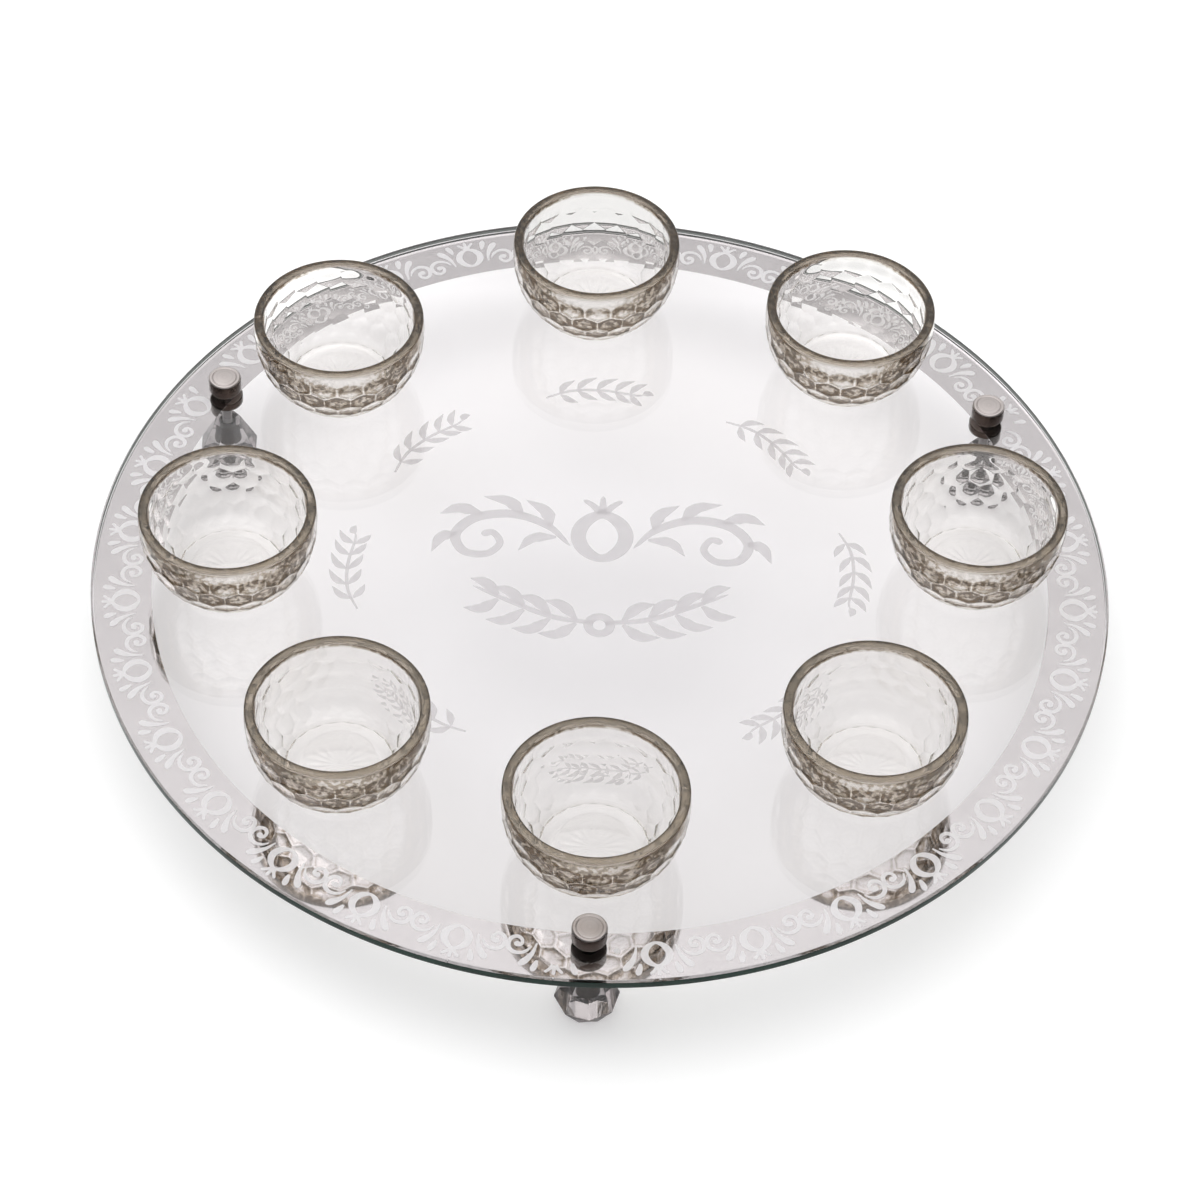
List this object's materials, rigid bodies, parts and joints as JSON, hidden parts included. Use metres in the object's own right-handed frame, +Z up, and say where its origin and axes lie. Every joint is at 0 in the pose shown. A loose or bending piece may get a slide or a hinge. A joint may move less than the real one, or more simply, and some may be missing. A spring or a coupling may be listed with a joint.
{
  "type": "rosh hashanah plate",
  "caption": "Round clear glass plate with a silvered, scroll-printed rim, raised on short metal posts with faceted crystal feet, holding loose pressed-glass dip bowls.",
  "frame": {"origin": "on the table, under the middle of the plate", "axes": "+Z up, +Y away from the front post, +X to the right seen from the front"},
  "size_m": [0.35, 0.35, 0.0679],
  "materials": {
    "clear_glass": "polished float glass, dark green at the edge",
    "silver_film": "silver mirror print under the glass with a frosted white scroll border",
    "turned_metal": "turned, satin ends and dark polished sides",
    "stud_metal": "threaded steel",
    "soft_plastic": "clear soft washer",
    "crystal": "cut and polished crystal facets",
    "pressed_glass": "pressed glass with fire-polished rim and honeycomb dents"
  },
  "bodies": {
    "footed_plate": {"glass_plate": "clear_glass", "rim_film": "silver_film", "front_cap": "turned_metal", "front_upper_washer": "soft_plastic", "front_lower_washer": "soft_plastic", "front_collar": "turned_metal", "front_stud": "stud_metal", "front_threaded_insert": "stud_metal", "front_crystal_foot": "crystal", "back_right_cap": "turned_metal", "back_right_upper_washer": "soft_plastic", "back_right_lower_washer": "soft_plastic", "back_right_collar": "turned_metal", "back_right_stud": "stud_metal", "back_right_threaded_insert": "stud_metal", "back_right_crystal_foot": "crystal", "back_left_cap": "turned_metal", "back_left_upper_washer": "soft_plastic", "back_left_lower_washer": "soft_plastic", "back_left_collar": "turned_metal", "back_left_stud": "stud_metal", "back_left_threaded_insert": "stud_metal", "back_left_crystal_foot": "crystal"},
    "bowl_right": {"bowl_right": "pressed_glass"},
    "bowl_back_right": {"bowl_back_right": "pressed_glass"},
    "bowl_back": {"bowl_back": "pressed_glass"},
    "bowl_back_left": {"bowl_back_left": "pressed_glass"},
    "bowl_left": {"bowl_left": "pressed_glass"},
    "bowl_front_left": {"bowl_front_left": "pressed_glass"},
    "bowl_front": {"bowl_front": "pressed_glass"},
    "bowl_front_right": {"bowl_front_right": "pressed_glass"}
  },
  "joints": [
    {"name": "bowl_right_lift", "type": "slide", "parent": "footed_plate", "child": "bowl_right", "axis": [0, 0, 1], "range_m": [0, 0.06]},
    {"name": "bowl_back_right_lift", "type": "slide", "parent": "footed_plate", "child": "bowl_back_right", "axis": [0, 0, 1], "range_m": [0, 0.06]},
    {"name": "bowl_back_lift", "type": "slide", "parent": "footed_plate", "child": "bowl_back", "axis": [0, 0, 1], "range_m": [0, 0.06]},
    {"name": "bowl_back_left_lift", "type": "slide", "parent": "footed_plate", "child": "bowl_back_left", "axis": [0, 0, 1], "range_m": [0, 0.06]},
    {"name": "bowl_left_lift", "type": "slide", "parent": "footed_plate", "child": "bowl_left", "axis": [0, 0, 1], "range_m": [0, 0.06]},
    {"name": "bowl_front_left_lift", "type": "slide", "parent": "footed_plate", "child": "bowl_front_left", "axis": [0, 0, 1], "range_m": [0, 0.06]},
    {"name": "bowl_front_lift", "type": "slide", "parent": "footed_plate", "child": "bowl_front", "axis": [0, 0, 1], "range_m": [0, 0.06]},
    {"name": "bowl_front_right_lift", "type": "slide", "parent": "footed_plate", "child": "bowl_front_right", "axis": [0, 0, 1], "range_m": [0, 0.06]}
  ]
}
